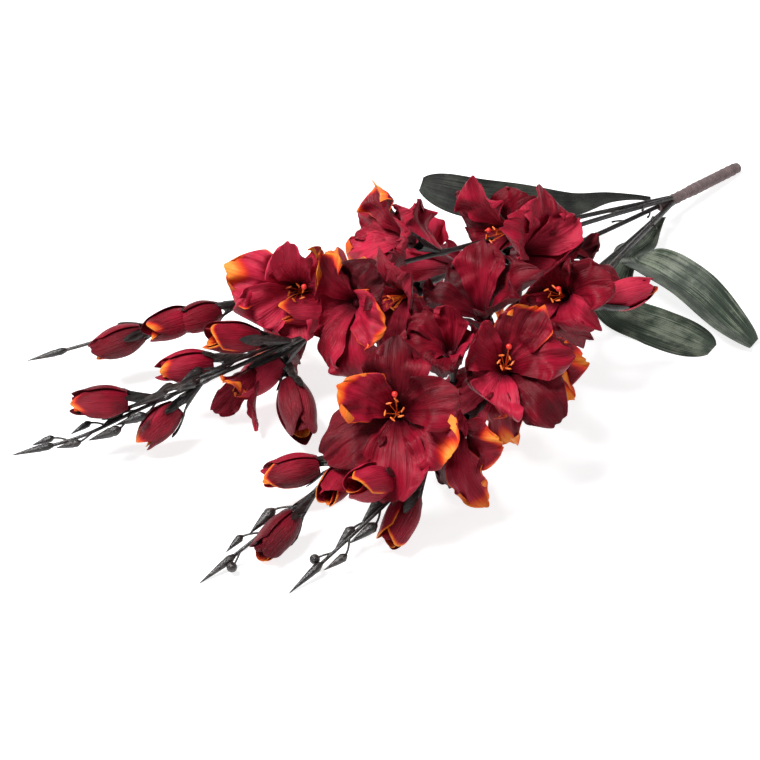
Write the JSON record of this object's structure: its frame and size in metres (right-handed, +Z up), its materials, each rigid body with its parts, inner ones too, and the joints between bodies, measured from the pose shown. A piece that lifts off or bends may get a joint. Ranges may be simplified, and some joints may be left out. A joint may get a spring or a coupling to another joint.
{
  "type": "artificial gladiolus bunch",
  "caption": "Artificial gladiolus bunch lying down: taped handle, fanned dark stems with closed buds, furled red buds, ruffled burgundy blooms and broad leaves.",
  "frame": {"origin": "on the table under the middle of the whole bunch", "axes": "+X from the spikes' tips to the handle, +Y across the fan, +Z up from the table"},
  "size_m": [0.7256, 0.3532, 0.1454],
  "materials": {
    "stem_plastic": "dark brown-black moulded plastic, satin",
    "handle_tape": "wound florist's tape, brown-mauve, matt",
    "leaf_fabric": "coated cloth leaf, dark grey-green with a dusty sheen",
    "petal_fabric": "dyed polyester satin, burgundy with orange rims",
    "stamen_plastic": "orange-red soft plastic, matt"
  },
  "bodies": {
    "root": {"stem_a": "stem_plastic", "stem_b": "stem_plastic", "stem_c": "stem_plastic", "stem_d": "stem_plastic", "stem_e": "stem_plastic", "handle": "handle_tape", "leaf_high": "leaf_fabric", "leaf_side": "leaf_fabric", "leaf_low": "leaf_fabric", "bud_a1": "petal_fabric", "bud_a2": "petal_fabric", "bud_a3": "petal_fabric", "bud_b1": "petal_fabric", "bud_b2": "petal_fabric", "bud_b3": "petal_fabric", "bud_b4": "petal_fabric", "bud_b5": "petal_fabric", "bud_e1": "petal_fabric", "bud_c1": "petal_fabric", "bud_c2": "petal_fabric", "bud_c3": "petal_fabric", "bud_d1": "petal_fabric", "bud_d2": "petal_fabric", "bud_d3": "petal_fabric", "bud_d4": "petal_fabric", "half_e2": "petal_fabric", "bud_e3": "petal_fabric", "bloom_a4": "petal_fabric", "bloom_a5": "petal_fabric", "bloom_a6": "petal_fabric", "bloom_a7": "petal_fabric", "bloom_b6": "petal_fabric", "bloom_b7": "petal_fabric", "bloom_b8": "petal_fabric", "bloom_b9": "petal_fabric", "bloom_c4": "petal_fabric", "bloom_c5": "petal_fabric", "bloom_c6": "petal_fabric", "bloom_d5": "petal_fabric", "bloom_d6": "petal_fabric", "bloom_d7": "petal_fabric", "bloom_d8": "petal_fabric", "bloom_d9": "petal_fabric", "bloom_e6": "petal_fabric", "bloom_e7": "petal_fabric", "stamens_a4": "stamen_plastic", "stamens_a7": "stamen_plastic", "stamens_b6": "stamen_plastic", "stamens_c4": "stamen_plastic", "stamens_d6": "stamen_plastic", "stamens_d9": "stamen_plastic"}
  },
  "joints": []
}
